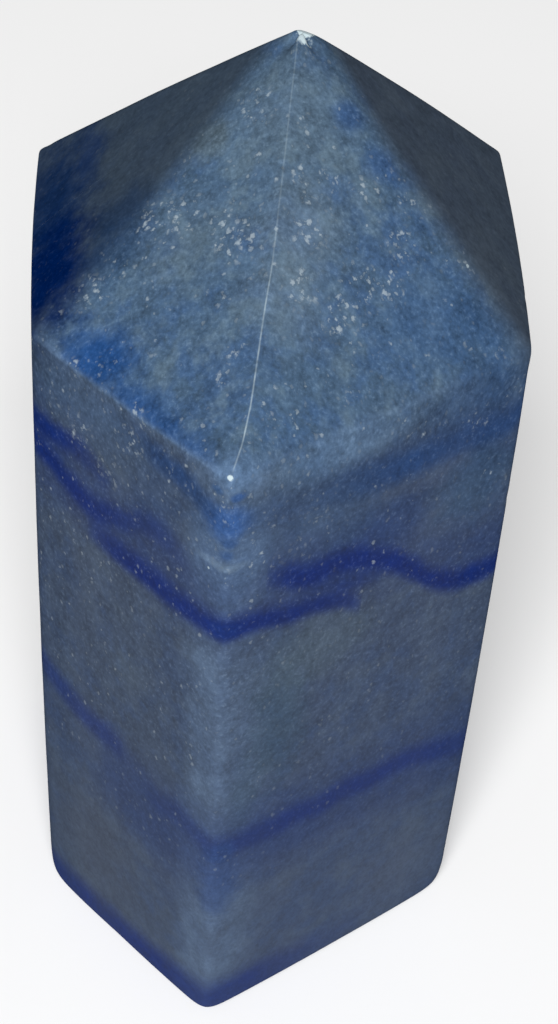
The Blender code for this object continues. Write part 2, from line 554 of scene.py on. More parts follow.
CLOUDS = (
    Patch((-12.0, -14.0, 11.0), (6.0, 6.0, 8.0), (0.037, 0.050, 0.076), 0.65),
    Patch((14.5, -12.0, 6.5), (7.0, 6.0, 6.0), (0.046, 0.064, 0.102), 0.50),
    Patch((1.6, -21.6, 36.0), (2.8, 2.8, 9.0), (0.028, 0.058, 0.092), 0.45),
    Patch((-0.6, -23.2, 28.0), (1.6, 1.8, 5.0), (0.026, 0.052, 0.088), 0.40),
    Patch((4.0, -19.5, 41.5), (6.0, 5.0, 3.6), (0.056, 0.082, 0.108), 0.50),
    Patch((-9.5, -17.8, 36.0), (2.4, 2.4, 2.2), (0.054, 0.076, 0.104), 0.35),
    Patch((-5.6, -22.0, 15.0), (3.0, 3.0, 3.4), (0.026, 0.042, 0.084), 0.50),
    Patch((8.0, -17.0, 51.0), (5.5, 4.5, 3.0), (0.012, 0.032, 0.104), 0.62),
    Patch((15.6, -11.8, 51.5), (4.6, 4.0, 4.2), (0.026, 0.058, 0.114), 0.60),
    Patch((4.0, -19.5, 54.4), (6.0, 5.0, 4.5), (0.036, 0.068, 0.132), 0.50),
    Patch((15.0, -12.0, 60.0), (6.0, 5.0, 2.6), (0.026, 0.054, 0.118), 0.70),
    Patch((-12.6, -14.4, 59.4), (7.0, 7.0, 3.0), (0.046, 0.076, 0.128), 0.70),
    Patch((-10.5, -16.5, 56.6), (5.0, 5.5, 2.2), (0.050, 0.072, 0.108), 0.50),
    Patch((-7.6, -19.8, 54.4), (3.0, 3.0, 2.2), (0.022, 0.042, 0.098), 0.55),
    Patch((5.0, -19.4, 60.6), (6.0, 5.0, 2.0), (0.074, 0.126, 0.212), 0.66),
    Patch((-2.4, -24.4, 53.5), (4.0, 4.0, 5.0), (0.056, 0.098, 0.178), 0.65),
    Patch((-2.8, -24.6, 57.7), (2.0, 2.2, 1.7), (0.032, 0.088, 0.250), 0.85),
    Patch((-1.9, -24.3, 61.8), (2.2, 2.2, 1.5), (0.080, 0.142, 0.250), 0.55),
    Patch((-3.4, -24.1, 60.5), (0.55, 0.8, 0.42), (0.018, 0.056, 0.150), 0.60),
    Patch((-2.0, -24.6, 60.2), (0.60, 0.8, 0.42), (0.018, 0.056, 0.170), 0.75),
    Patch((-2.5, -24.8, 56.0), (0.75, 0.9, 0.50), (0.020, 0.056, 0.155), 0.65),
    Patch((-2.7, -24.8, 54.9), (0.60, 0.8, 0.50), (0.020, 0.056, 0.155), 0.65),
    Patch((-3.1, -24.4, 53.7), (2.4, 2.2, 0.50), (0.115, 0.170, 0.240), 0.55),
    Patch((-12.2, -13.6, 63.0), (3.8, 3.8, 2.2), TIP_CORNER_BLUE, 0.95, 61.9),
    Patch((-8.6, -17.9, 62.2), (3.6, 3.6, 1.1), TIP_CORNER_BLUE, 0.75, 61.9),
    Patch((-5.4, -21.2, 62.0), (2.8, 2.8, 0.9), TIP_CORNER_BLUE, 0.60, 61.9),
    Patch((10.9, -11.0, 65.4), (4.8, 4.8, 3.6), (0.030, 0.070, 0.156), 0.60),
    Patch((-11.5, -8.0, 67.0), (3.0, 2.2, 3.6), (0.036, 0.072, 0.130), 0.45),
    Patch((15.5, -10.0, 63.4), (4.0, 4.0, 2.6), (0.028, 0.062, 0.130), 0.50),
    Patch((0.6, -13.7, 68.6), (3.4, 4.0, 4.0), (0.092, 0.136, 0.184), 0.50),
    Patch((1.4, -9.2, 71.5), (3.8, 4.0, 4.0), (0.092, 0.134, 0.180), 0.50),
    Patch((0.5, -2.5, 76.0), (5.0, 6.0, 5.0), (0.084, 0.124, 0.160), 0.45),
    Patch((-5.2, -2.4, 73.7), (2.4, 1.8, 2.2), (0.086, 0.120, 0.140), 0.60),
    Patch((-7.0, -8.4, 69.6), (4.5, 4.0, 4.0), (0.066, 0.098, 0.128), 0.30),
    Patch((4.6, -1.4, 75.8), (1.5, 1.4, 1.5), (0.020, 0.058, 0.165), 0.60),
    Patch((6.8, -3.3, 73.0), (1.6, 1.4, 1.8), (0.022, 0.060, 0.165), 0.50),
)

OVERLAYS = (
    Patch((-17.5, 3.0, 65.0), (4.8, 11.0, 6.0), (0.003, 0.016, 0.062), 0.90),
    Patch((-16.8, -4.6, 63.8), (5.6, 7.0, 4.0), (0.000, 0.009, 0.060), 1.0),
    Patch((-11.1, -3.9, 68.2), (3.2, 2.8, 3.0), (0.006, 0.022, 0.064), 0.55),
    Patch((-12.2, -6.5, 67.0), (3.0, 2.6, 2.6), (0.008, 0.026, 0.072), 0.50),
    Patch((-14.1, 7.1, 66.0), (1.4, 4.6, 3.6), (0.004, 0.018, 0.075), 0.52),
    Patch((-2.5, -24.6, 47.5), (1.5, 1.8, 1.0), (0.000, 0.014, 0.104), 0.92),
    Patch((-2.0, -24.4, 22.4), (1.4, 1.8, 1.4), EDGE_BLUE, 0.45),
    Patch((-1.9, -24.2, 17.8), (2.0, 2.2, 4.4), (0.016, 0.042, 0.130), 0.55),
)

CRYSTALS = (
    Crystals(
        spacing=0.54,
        radius=0.28,
        cluster=3.0,
        share=0.20,
        lowest=50.0,
        highest=62.0,
        strength=0.52,
        seed=3.0,
        crowds=(
            ((1.4, -12.6, 69.0), 1.9),
            ((4.4, -13.2, 67.2), 2.0),
            ((5.7, -10.9, 68.0), 1.9),
            ((7.8, -10.3, 67.3), 1.3),
            ((8.5, -7.3, 69.1), 1.4),
            ((13.7, -6.4, 67.0), 0.9),
            ((5.8, -5.3, 72.1), 1.3),
            ((3.3, -5.6, 73.2), 1.2),
            ((1.9, -9.5, 71.1), 1.6),
            ((-3.0, -9.9, 70.6), 1.9),
            ((-6.4, -6.9, 70.3), 1.7),
            ((-8.5, -5.9, 69.6), 2.1),
            ((-13.0, -9.1, 65.1), 1.8),
            ((-1.8, -1.4, 76.3), 1.7),
            ((-11.0, -16.4, 54.6), 1.8),
            ((-13.4, -13.9, 56.5), 1.9),
            ((-9.7, -17.8, 59.0), 1.5),
            ((0.8, -22.4, 52.4), 1.3),
            ((3.4, -20.5, 55.3), 1.3),
        ),
    ),
    Crystals(
        spacing=0.80,
        radius=0.18,
        cluster=4.0,
        share=0.60,
        lowest=32.0,
        highest=58.0,
        strength=0.40,
        seed=11.0,
        drawn=0.80,
        on_right=1.0,
    ),
    Crystals(
        spacing=0.75,
        radius=0.19,
        cluster=5.0,
        share=0.90,
        lowest=6.0,
        highest=34.0,
        strength=0.25,
        seed=17.0,
        drawn=0.80,
        on_right=0.5,
    ),
)

BRUISES = (
    Bruise((1.20, 2.00, 79.70), 0.55, 0.9),
    Bruise((1.80, 2.00, 79.55), 0.62, 0.9),
    Bruise((1.68, 2.02, 79.66), 0.64, 0.9),
    Bruise((-2.68, -24.58, 61.92), 0.27, 0.9),
    Bruise((-3.80, -23.80, 52.90), 0.16, 0.6),
    Bruise((-2.70, -24.80, 52.80), 0.16, 0.6),
    Bruise((-7.80, 6.59, 72.00), 0.20, 0.5),
    Bruise((13.64, -6.46, 67.00), 0.22, 0.5),
    Bruise((-12.10, -15.21, 46.20), 0.24, 0.8),
    Bruise((-13.84, -13.45, 56.07), 0.18, 0.6),
)


@dataclass(frozen=True)
class Spot:
    """A place in the stone as the shader reads it, with the noises that its markings share.

    Attributes:
        graph: The graph.
        place: The place, in mm.
        fibres: The same place drawn out upwards and leant, as the fibres are.
        across: The place across, in mm.
        back: The place towards the back, in mm.
        up: The height, in mm.
        depth: How far back it lies behind the two front faces, in mm.
        drift: A slow noise.
        ripple: A noise of a few mm.
        uneven: A second noise of a few mm.
        fine: A noise of about a mm.
    """

    graph: Graph
    place: bpy.types.NodeSocket
    fibres: bpy.types.NodeSocket
    across: Value
    back: Value
    up: Value
    depth: Value
    drift: Value
    ripple: Value
    uneven: Value
    fine: Value

    @classmethod
    def read(cls, graph: Graph) -> "Spot":
        """Read the place that is shaded.

        Args:
            graph: The graph.

        Returns:
            The place and its noises.
        """
        spot = graph.node("ShaderNodeTexCoord").outputs["Object"]
        place = graph.vector("SCALE", spot, scale=1.0 / MM)
        node = graph.node("ShaderNodeSeparateXYZ", None, {0: place})
        across, back, up = (Value(graph, node.outputs[axis]) for axis in "XYZ")
        from_corner = across + 2.5
        front = (from_corner * -1.027).higher(from_corner * 0.727) - 24.9
        drawn = up.lower(58.0) * 0.92 + (up - 58.0).higher(0.0) * 0.75
        leant = across + up * 0.05
        fibres = graph.node("ShaderNodeCombineXYZ", None, {0: leant, 1: back, 2: drawn}).outputs[0]
        return cls(
            graph=graph,
            place=place,
            fibres=fibres,
            across=across,
            back=back,
            up=up,
            depth=back - front,
            drift=graph.noise(place, 12.0, 2.0, 0.5, 1.0) - 0.5,
            ripple=graph.noise(place, 2.2, 4.0, 0.65, 2.0) - 0.5,
            uneven=graph.noise(fibres, 3.2, 3.0, 0.6, 3.0) - 0.5,
            fine=graph.noise(fibres, 0.9, 2.0, 0.6, 4.0) - 0.5,
        )

    def far(self, centre: Place, reach: Place) -> Value:
        """Measure how far the place lies from a centre, as a share of a reach."""
        scaled = self.graph.vector("DIVIDE", self.graph.vector("SUBTRACT", self.place, centre), reach)
        node = self.graph.node("ShaderNodeVectorMath", {"operation": "LENGTH"}, {0: scaled})
        return Value(self.graph, node.outputs["Value"])

    def attribute(self, name: str) -> Value:
        """Read a number stored on the mesh."""
        return self.graph.value("ShaderNodeAttribute", {"attribute_name": name}, None, "Fac")


@dataclass(frozen=True)
class DumortieriteQuartz:
    """The polished stone: blue fibres of dumortierite in grey quartz."""

    quartz_left: Colour = (0.034, 0.051, 0.086)
    quartz_right: Colour = (0.034, 0.052, 0.094)
    fibre_blue: Colour = (0.018, 0.042, 0.112)
    warm_grey: Colour = (0.046, 0.064, 0.088)
    tip_blue: Colour = (0.050, 0.090, 0.150)
    tip_deep: Colour = (0.024, 0.062, 0.160)
    tip_grey: Colour = (0.076, 0.112, 0.138)
    # Painted highlights for the light caught along the rounded front edge and shoulder.
    edge_highlight: Colour = (0.060, 0.094, 0.154)
    shoulder_highlight: Colour = (0.082, 0.132, 0.220)
    # Painted shade: darker greys for the tip faces behind the side ridges, which turn away from the light.
    side_shade_left: Colour = (0.031, 0.045, 0.066)
    side_shade_right: Colour = (0.043, 0.056, 0.077)
    # Painted sheen: a pale colour laid thinly over the column in place of reflected light.
    painted_sheen: Colour = (0.320, 0.330, 0.400)
    pale: Colour = (0.230, 0.300, 0.370)
    crystal: Colour = (0.400, 0.470, 0.520)
    # White of the chipped tip and the bruises, also used for the painted highlight along the front ridge.
    white_and_ridge_highlight: Colour = (0.440, 0.530, 0.560)
    roughness: float = 0.5
    polish: float = 0.08
    veins: tuple[Vein, ...] = VEINS
    clouds: tuple[Patch, ...] = CLOUDS
    overlays: tuple[Patch, ...] = OVERLAYS
    crystals: tuple[Crystals, ...] = CRYSTALS
    bruises: tuple[Bruise, ...] = BRUISES

    def material(self) -> bpy.types.Material:
        """Build the stone's material.

        Returns:
            The finished material.
        """
        material = bpy.data.materials.new(STONE_SLOT)
        material.use_nodes = True
        graph = Graph(material.node_tree)
        spot = Spot.read(graph)
        colour = self._ground(spot)
        colour = self._paint_edge_highlights(spot, colour)
        for patch in self.clouds:
            colour = self._lay_patch(spot, colour, patch)
        for vein in self.veins:
            colour = self._lay_vein(spot, colour, vein)
        # Painted shade: the tip faces behind the two side ridges turn away from the key light, so a darker grey is laid
        # over them.
        side_shade = self._painted_side_shade(spot)
        grey = graph.blend(self.side_shade_left, self.side_shade_right, spot.across.step(-3.0, 3.0))
        colour = graph.blend(colour, grey, side_shade * 0.88)
        for patch in self.overlays:
            colour = self._lay_patch(spot, colour, patch)
        grain = graph.noise(spot.fibres, 0.32, 3.0, 0.65, 8.0)
        colour = self._lay_grain(spot, colour, grain, side_shade)
        for crystals in self.crystals:
            colour = self._lay_crystals(spot, colour, crystals, grain, side_shade)
        colour = self._lay_wear_and_ridge_highlight(spot, colour)
        # Painted sheen: a faint pale veil over the column stands in for the gloss that the surface would reflect, and
        # lifts the darks.
        sheen_share = spot.up.step(62.0, 48.0) * 0.024 + spot.up.step(40.0, 8.0) * 0.014
        colour = graph.blend(colour, self.painted_sheen, sheen_share)

        shader = graph.node(
            "ShaderNodeBsdfPrincipled",
            None,
            {
                "Base Color": colour,
                "Roughness": self.roughness,
                "Specular IOR Level": 0.0,
                "Coat Weight": (1.0 - self._behind(spot).step(-5.0, -2.0)) * self.polish,
                "Coat Roughness": self.roughness,
            },
        )
        graph.node("ShaderNodeOutputMaterial", None, {"Surface": shader.outputs["BSDF"]})
        return material

    def _ground(self, spot: Spot) -> bpy.types.NodeSocket:
        """Mix the grey quartz and the blue fibres that fill the stone.

        Args:
            spot: The place in the stone.

        Returns:
            The ground colour.
        """
        graph = spot.graph
        side = spot.across.step(-6.0, -1.0)
        soft = (spot.up + spot.drift * 5.0 + spot.ripple * 3.0).step(56.0, 64.0)
        sharp = (spot.up + spot.ripple * 0.3).step(61.4, 62.2)
        high = sharp + (soft - sharp) * side
        quartz = graph.blend(self.quartz_left, self.quartz_right, side)
        colour = graph.blend(quartz, self.tip_blue, high)
        mottle = graph.noise(spot.fibres, 2.6, 3.0, 0.6, 5.0) - 0.5
        deep = graph.blend(self.fibre_blue, self.tip_deep, high)
        bluer = (mottle + spot.fine * 0.35 + spot.drift * 0.7).step(-0.08, 0.16)
        colour = graph.blend(colour, deep, bluer * (high * 0.14 + 0.26))
        grey = graph.blend(self.warm_grey, self.tip_grey, high)
        greyer = (spot.uneven + spot.fine * 0.3).step(-0.03, 0.17)
        return graph.blend(colour, grey, greyer * (high * 0.20 + 0.30))

    def _paint_edge_highlights(self, spot: Spot, colour: bpy.types.NodeSocket) -> bpy.types.NodeSocket:
        """Paint highlights beside the front edge and along the shoulder, for the light that the rounded edges catch.

        Args:
            spot: The place in the stone.
            colour: The colour so far.

        Returns:
            The new colour.
        """
        graph = spot.graph
        left = (spot.across + spot.ripple * 1.6).step(-6.0, -3.9)
        right = (spot.across + spot.ripple * 2.6).step(2.6, -1.6)
        front = left * right * spot.depth.step(6.0, 3.0) * spot.up.step(63.0, 61.0)
        colour = graph.blend(colour, self.edge_highlight, front * (spot.uneven * 1.2 + 0.68))
        gap = spot.attribute(EDGE_ATTRIBUTE)
        near = spot.up.step(60.4, 61.4) * spot.up.step(63.4, 62.6) * (1.0 - self._side_share(spot) * 0.7)
        colour = graph.blend(colour, self.edge_highlight, gap.step(1.5, 0.2) * near * 0.35)
        return graph.blend(colour, self.shoulder_highlight, gap.step(0.34, 0.12) * near * 0.60)

    def _side_share(self, spot: Spot) -> Value:
        """Tell the softer right shoulder, as 1, from the crisp left one, as 0."""
        return spot.across.step(-5.0, 0.0)

    def _lay_patch(self, spot: Spot, colour: bpy.types.NodeSocket, patch: Patch) -> bpy.types.NodeSocket:
        """Lay a soft cloud over the colour.

        Args:
            spot: The place in the stone.
            colour: The colour so far.
            patch: The cloud.

        Returns:
            The new colour.
        """
        ragged = spot.far(patch.centre, patch.reach) + spot.ripple * 1.1 + spot.uneven * 0.5
        share = ragged.step(1.3, 0.3) * patch.strength
        if patch.floor:
            share = share * spot.up.step(patch.floor - 0.3, patch.floor + 0.3)
        return spot.graph.blend(colour, patch.colour, share)

    def _lay_vein(self, spot: Spot, colour: bpy.types.NodeSocket, vein: Vein) -> bpy.types.NodeSocket:
        """Lay a vein over the colour.

        Args:
            spot: The place in the stone.
            colour: The colour so far.
            vein: The vein.

        Returns:
            The new colour.
        """
        graph = spot.graph
        along = (spot.across - ACROSS_START) / ACROSS_SPAN
        heights = tuple(((x - ACROSS_START) / ACROSS_SPAN, z / UP_SPAN + ROUTE_MARGIN) for x, z in vein.route)
        strengths = tuple(((x - ACROSS_START) / ACROSS_SPAN, share) for x, share in vein.strengths)
        sheet = (graph.curve(along, heights) - ROUTE_MARGIN) * UP_SPAN + spot.depth * vein.dip
        stray = spot.drift * (spot.depth * 0.25).lower(4.0)
        height = spot.up - sheet - stray - spot.ripple * (2.0 * vein.wander)
        over = height.step(vein.above, vein.above * 0.1)
        under = height.step(-vein.below, vein.below * -0.1)
        strength = graph.curve(along, strengths)
        return graph.blend(colour, vein.colour, (over * under * strength * (spot.uneven * 0.6 + 1.0)).lower(0.97))

    def _painted_side_shade(self, spot: Spot) -> Value:
        """Find the painted shade laid over the tip faces behind its two side ridges, which turn away from the key
        light.

        Args:
            spot: The place in the stone.

        Returns:
            Its share, from 0 to 1.
        """
        near_tip = spot.up.step(73.0, 79.5) * 1.6
        return (self._behind(spot) + spot.ripple * 0.8 - near_tip).step(-1.9, 1.7) * spot.up.step(58.0, 63.0)

    def _behind(self, spot: Spot) -> Value:
        """Measure how far the place lies behind the two side ridges of the tip, in mm."""
        left = spot.across * -0.62 + (spot.back - 2.7) * 0.785
        right = (spot.across - 2.0) * 0.625 + (spot.back - 2.9) * 0.78
        return left.higher(right)

    def _lay_grain(
        self, spot: Spot, colour: bpy.types.NodeSocket, grain: Value, side_shade: Value
    ) -> bpy.types.NodeSocket:
        """Lay the fine interlocked grain over the colour.

        Args:
            spot: The place in the stone.
            colour: The colour so far.
            grain: The finest noise.
            side_shade: The share of painted shade, where the grain is duller.

        Returns:
            The new colour.
        """
        crisp = spot.up.step(5.0, 40.0) * 0.20 + 0.46 + spot.up.step(56.0, 63.0) * 0.20
        mottle = (grain - 0.5) * 1.5 + spot.fine + spot.uneven * 0.7 + spot.ripple * 0.7
        bright = 1.0 + mottle * crisp * (1.0 - side_shade * 0.4)
        colour = spot.graph.blend(colour, bright, 1.0, Mix.MULTIPLY)
        bristles = grain.step(0.54, 0.76) * (1.0 - side_shade * 0.8)
        amount = spot.up.step(4.0, 46.0) * 0.11 + spot.up.step(54.0, 63.0) * 0.02
        return spot.graph.blend(colour, self.pale, bristles * amount)

    def _lay_crystals(
        self, spot: Spot, colour: bpy.types.NodeSocket, crystals: Crystals, grain: Value, side_shade: Value
    ) -> bpy.types.NodeSocket:
        """Scatter clusters of small pale crystals over the colour.

        Args:
            spot: The place in the stone.
            colour: The colour so far.
            crystals: The scatter.
            grain: The finest noise.
            side_shade: The share of painted shade, where hardly any show.

        Returns:
            The new colour.
        """
        graph = spot.graph
        drawn = graph.vector("MULTIPLY", spot.fibres, (1.0, 1.0, crystals.drawn))
        bent = graph.vector("ADD", drawn, (crystals.seed, -crystals.seed, 0.0))
        node = graph.node(
            "ShaderNodeTexVoronoi",
            {"voronoi_dimensions": "3D", "feature": "F1"},
            {"Vector": bent, "Scale": 1.0 / crystals.spacing, "Randomness": 1.0},
        )
        chance = graph.value("ShaderNodeSeparateXYZ", None, {0: node.outputs["Color"]}, "X")
        ragged = spot.fine * 0.8 + (grain - 0.5) * 4.0
        off = Value(graph, node.outputs["Distance"]) * crystals.spacing + ragged * crystals.radius
        size = crystals.radius * (0.45 + chance * chance * 0.55)
        dot = (off / size).step(1.1, 0.1)
        crowd = graph.noise(spot.place, crystals.cluster, 3.0, 0.6, crystals.seed)
        gathered = crowd.step(0.62 - crystals.share * 0.25, 0.72 - crystals.share * 0.25)
        for centre, reach in crystals.crowds:
            near = spot.far(centre, (reach,) * 3) + spot.uneven
            gathered = gathered.higher(near.step(1.2, 0.5))
        height = spot.up.step(crystals.lowest, crystals.highest) * (1.0 - side_shade * 0.85)
        if crystals.on_right < 1.0:
            height = height * (1.0 - spot.across.step(-5.0, 4.0) * (1.0 - crystals.on_right))
        return graph.blend(colour, self.crystal, dot * gathered * height * (chance * 0.6 + 0.4) * crystals.strength)

    def _lay_wear_and_ridge_highlight(self, spot: Spot, colour: bpy.types.NodeSocket) -> bpy.types.NodeSocket:
        """Paint a thin highlight along the crisp front ridge, and whiten the chipped tip and the small bruises.

        Args:
            spot: The place in the stone.
            colour: The colour so far.

        Returns:
            The new colour.
        """
        graph = spot.graph
        # Painted highlight: a thin pale line along the crisp front ridge, fainter towards the apex.
        ridge_highlight = abs(spot.attribute(RIDGE_ATTRIBUTE) + spot.ripple * 0.06).step(0.080, 0.015)
        shown = spot.up.step(62.1, 62.6) * (spot.up.step(74.0, 67.0) * 0.72 + 0.28)
        colour = graph.blend(colour, self.white_and_ridge_highlight, ridge_highlight * shown * (spot.fine * 1.8 + 0.7).lower(1.0) * 0.40)
        nick = spot.attribute(NICK_ATTRIBUTE)
        colour = graph.blend(colour, self.pale, nick.step(0.25, 0.9) * 0.25)
        crumbs = graph.noise(spot.place, 0.5, 3.0, 0.7, 80.0) - 0.5
        chip = (spot.attribute(CHIP_ATTRIBUTE) + crumbs * 1.2).step(0.35, 0.60)
        colour = graph.blend(colour, self.white_and_ridge_highlight, chip)
        for bruise in self.bruises:
            reach = (bruise.radius,) * 3
            spread = spot.far(bruise.centre, reach) + crumbs * 1.6
            colour = graph.blend(colour, self.white_and_ridge_highlight, spread.step(1.0, 0.4) * bruise.strength)
        return colour


@dataclass(frozen=True)
class PaleBoard:
    """The plain pale floor's finish."""

    colour: Colour = (0.90, 0.90, 0.90)
    roughness: float = 0.8

    def material(self) -> bpy.types.Material:
        """Build the floor's material."""
        material = bpy.data.materials.new("pale_board")
        material.use_nodes = True
        graph = Graph(material.node_tree)
        values = {"Base Color": opaque(self.colour), "Roughness": self.roughness}
        shader = graph.node("ShaderNodeBsdfPrincipled", None, values)
        graph.node("ShaderNodeOutputMaterial", None, {"Surface": shader.outputs["BSDF"]})
        return material


# The stone's shape.


class Corner(Enum):
    """The six corners of the column, in order round it."""

    FRONT = 0
    RIGHT = 1
    BACK_RIGHT = 2
    BACK = 3
    BACK_LEFT = 4
    LEFT = 5


@dataclass
class GroundFace:
    """One face as the lap left it: nearly flat, and slightly full in its middle.

    Attributes:
        normal: The face's outward direction.
        centre: A point at the middle of the face.
        across: A level direction along the face.
        climb: The direction along the face at right angles to it.
        bend: The six numbers of the curved surface over the face.
    """

    normal: np.ndarray
    centre: np.ndarray
    across: np.ndarray
    climb: np.ndarray
    bend: np.ndarray

    @classmethod
    def measured(cls, normal: np.ndarray, points: np.ndarray) -> "GroundFace":
        """Fit a face to the points of the solid that lie on it.

        Args:
            normal: The mean direction of the face.
            points: Its points, in metres.

        Returns:
            The fitted face.
        """
        level = np.cross((0.0, 0.0, 1.0), normal)
        across = level / np.linalg.norm(level) if np.linalg.norm(level) > 0.1 else np.array((1.0, 0.0, 0.0))
        climb = np.cross(normal, across)
        centre = points.mean(axis=0)
        face = cls(normal, centre, across, climb, np.zeros(6))
        terms = face._terms(points)
        face.bend = np.linalg.lstsq(terms, (points - centre) @ normal, rcond=None)[0]
        return face

    @classmethod
    def flat(cls, centre: np.ndarray, facing: np.ndarray) -> "GroundFace":
        """Make a flat face through a point."""
        normal = facing / np.linalg.norm(facing)
        across = np.cross((0.0, 0.0, 1.0), normal)
        across /= np.linalg.norm(across)
        return cls(normal, centre, across, np.cross(normal, across), np.zeros(6))

    def _terms(self, points: np.ndarray) -> np.ndarray:
        """List the terms of the curved surface at some points."""
        offset = points - self.centre
        s, t = offset @ self.across, offset @ self.climb
        return np.stack((np.ones_like(s), s, t, s * s, s * t, t * t), axis=1)

    def height(self, points: np.ndarray) -> np.ndarray:
        """Measure how far points lie outside the face."""
        return (points - self.centre) @ self.normal - self._terms(points) @ self.bend

    def slope(self, points: np.ndarray) -> np.ndarray:
        """Find the direction in which that height grows."""
        offset = points - self.centre
        s, t = offset @ self.across, offset @ self.climb
        _, b, c, d, e, f = self.bend
        by_s = b + 2 * d * s + e * t
        by_t = c + e * s + 2 * f * t
        return self.normal - by_s[:, None] * self.across - by_t[:, None] * self.climb


def meeting_point(faces: list[GroundFace]) -> np.ndarray:
    """Find where faces would meet if they were flat and sharp.

    Args:
        faces: Three faces or more.

    Returns:
        The point closest to all of them.
    """
    point = np.mean([face.centre for face in faces], axis=0)
    for _ in range(6):
        heights = np.array([face.height(point[None])[0] for face in faces])
        slopes = np.array([face.slope(point[None])[0] for face in faces])
        point = point - np.linalg.lstsq(slopes, heights, rcond=None)[0]
    return point


@dataclass(frozen=True)
class EdgeSoftness:
    """How softly the polishing wheel rounded the edges that meet along one corner, in mm.

    Attributes:
        foot: At the base.
        column: Up the column.
        shoulder: Where the column meets the tip.
        ridge: Up the tip.
    """

    foot: float
    column: float
    shoulder: float
    ridge: float


BASE_SOFTNESS = 0.62
SOFTNESS = {
    Corner.FRONT: EdgeSoftness(foot=0.60, column=0.33, shoulder=0.22, ridge=0.06),
    Corner.RIGHT: EdgeSoftness(foot=0.56, column=0.26, shoulder=0.14, ridge=0.42),
    Corner.BACK_RIGHT: EdgeSoftness(foot=0.30, column=0.17, shoulder=0.08, ridge=0.12),
    Corner.BACK: EdgeSoftness(foot=0.34, column=0.20, shoulder=0.12, ridge=0.14),
    Corner.BACK_LEFT: EdgeSoftness(foot=0.30, column=0.17, shoulder=0.08, ridge=0.12),
    Corner.LEFT: EdgeSoftness(foot=0.46, column=0.23, shoulder=0.08, ridge=0.42),
}


@dataclass(frozen=True)
class Chip:
    """The place where a flake broke off beside the tip, as a flat cut.

    Attributes:
        centre: A point on the cut, in mm.
        facing: The direction the cut faces.
    """

    centre: Place = (1.01, 2.51, 79.86)
    facing: Place = (0.296, 0.171, 0.940)


@dataclass(frozen=True)
class RidgeBow:
    """How the hand-cut front ridge strays sideways from a straight line.

    Attributes:
        bends: Points along it, each a height and how far it strays to the right, in mm.
        fade: How far from the ridge the faces are bent with it, in mm.
    """

    bends: Route = (
        (61.6, 0.0), (62.3, 0.04), (63.4, 0.34), (65.0, 0.50), (68.5, 0.43), (70.8, 0.45), (74.7, 0.17),
        (79.6, -0.22),
    )
    fade: float = 6.0

    def stray(self, heights: np.ndarray) -> np.ndarray:
        """Find how far the ridge strays at some heights, all in metres."""
        high, aside = zip(*self.bends)
        return np.interp(heights / MM, high, aside) * MM


